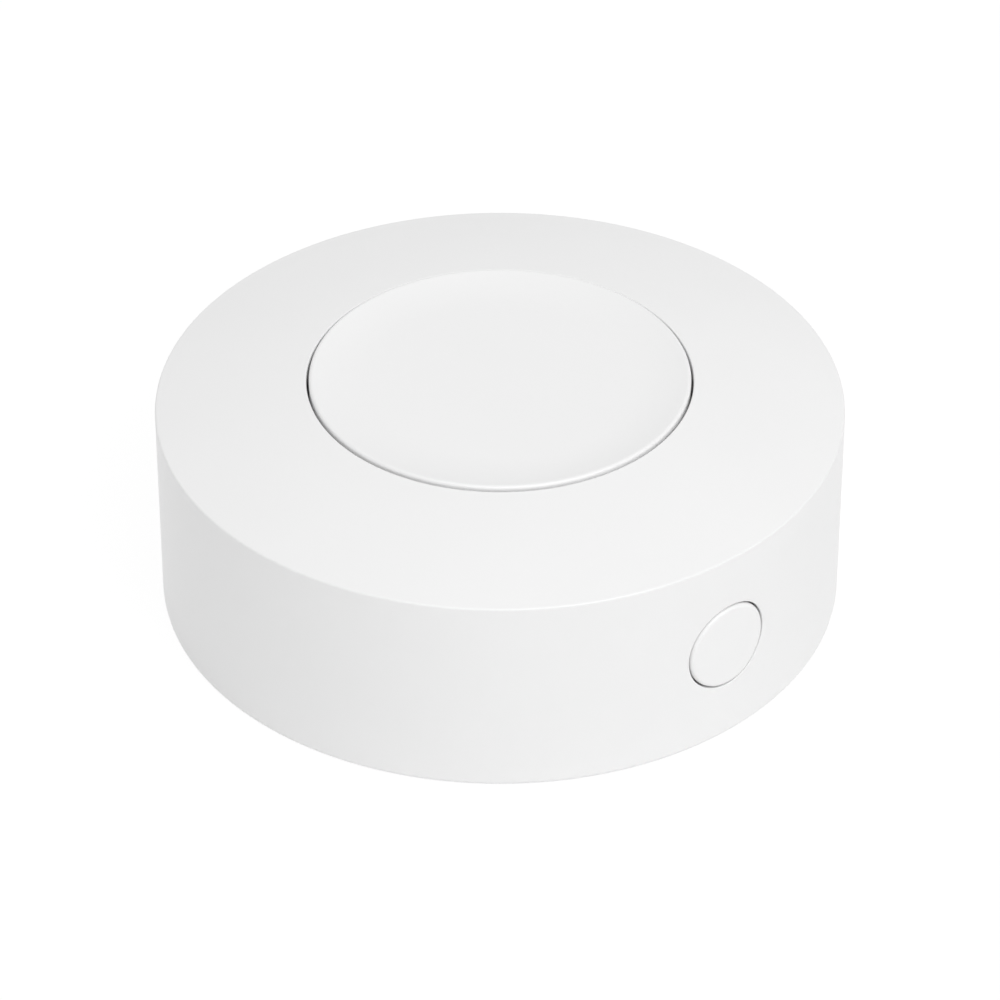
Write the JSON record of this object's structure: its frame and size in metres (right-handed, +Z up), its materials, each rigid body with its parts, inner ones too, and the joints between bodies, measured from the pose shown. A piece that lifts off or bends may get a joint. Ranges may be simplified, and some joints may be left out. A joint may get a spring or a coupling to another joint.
{
  "type": "smart button",
  "caption": "Low round white puck with a large dished press key in its domed top, a small round key in its side wall and a twist-off base over a coin cell.",
  "frame": {"origin": "centre of the foot ring's flat underside, on the puck's axis and on the surface it lies on", "axes": "+Z up along the puck's axis and the main key's travel, -Y out through the side key, +X to the right of someone facing the side key"},
  "size_m": [0.045, 0.0451, 0.0161],
  "materials": {
    "housing_plastic": "satin",
    "key_plastic": "satin",
    "cover_plastic": "satin",
    "board_laminate": "satin",
    "black_moulding": "satin",
    "holder_plastic": "satin",
    "bright_steel": "satin",
    "cell_steel": "polished",
    "contact_metal": "satin",
    "gasket_plastic": "matte",
    "ceramic_body": "matte",
    "chip_capacitor_body": "matte",
    "chip_resistor_body": "satin",
    "diode_resin": "gloss"
  },
  "bodies": {
    "housing": {"housing": "housing_plastic", "circuit_board": "board_laminate", "board_screws": "bright_steel", "main_switch_body": "black_moulding", "main_switch_cover": "bright_steel", "main_switch_dome": "bright_steel", "main_switch_terminals": "bright_steel", "side_switch_body": "black_moulding", "side_switch_cover": "bright_steel", "side_switch_dome": "bright_steel", "side_switch_terminals": "bright_steel", "battery_can": "cell_steel", "battery_gasket": "gasket_plastic", "battery_cap": "cell_steel", "battery_holder": "holder_plastic", "positive_contact": "contact_metal", "negative_contact": "contact_metal", "radio_module_board": "board_laminate", "radio_shield": "bright_steel", "radio_antenna": "ceramic_body", "crystal": "bright_steel", "voltage_regulator": "black_moulding", "status_led": "diode_resin", "chip_capacitors": "chip_capacitor_body", "chip_resistors": "chip_resistor_body"},
    "main_button": {"main_button": "key_plastic"},
    "main_switch_stem": {"main_switch_stem": "black_moulding"},
    "side_button": {"side_button": "key_plastic"},
    "side_switch_stem": {"side_switch_stem": "black_moulding"},
    "base_cover": {"base_cover": "cover_plastic"}
  },
  "joints": [
    {"name": "main_button_press", "type": "slide", "parent": "housing", "child": "main_button", "axis": [0, 0, -1], "range_m": [0, 0.0003], "stiffness_N_per_m": 4000, "springref_m": -0.0001},
    {"name": "main_switch_stem_press", "type": "slide", "parent": "housing", "child": "main_switch_stem", "axis": [0, 0, -1], "range_m": [0, 0.0003], "deforming": ["main_switch_dome"]},
    {"name": "side_button_press", "type": "slide", "parent": "housing", "child": "side_button", "axis": [0, 1, 0], "range_m": [0, 0.00025], "stiffness_N_per_m": 4000, "springref_m": -0.0001},
    {"name": "side_switch_stem_press", "type": "slide", "parent": "housing", "child": "side_switch_stem", "axis": [0, 1, 0], "range_m": [0, 0.00025], "deforming": ["side_switch_dome"]},
    {"name": "base_cover_twist", "type": "hinge", "parent": "housing", "child": "base_cover", "pos_m": [0, 0, 0.001], "axis": [0, 0, -1], "range_deg": [0, 30]}
  ],
  "couplings": [
    {"joint": "main_switch_stem_press", "follows": "main_button_press", "ratio": 1},
    {"joint": "side_switch_stem_press", "follows": "side_button_press", "ratio": 1}
  ]
}
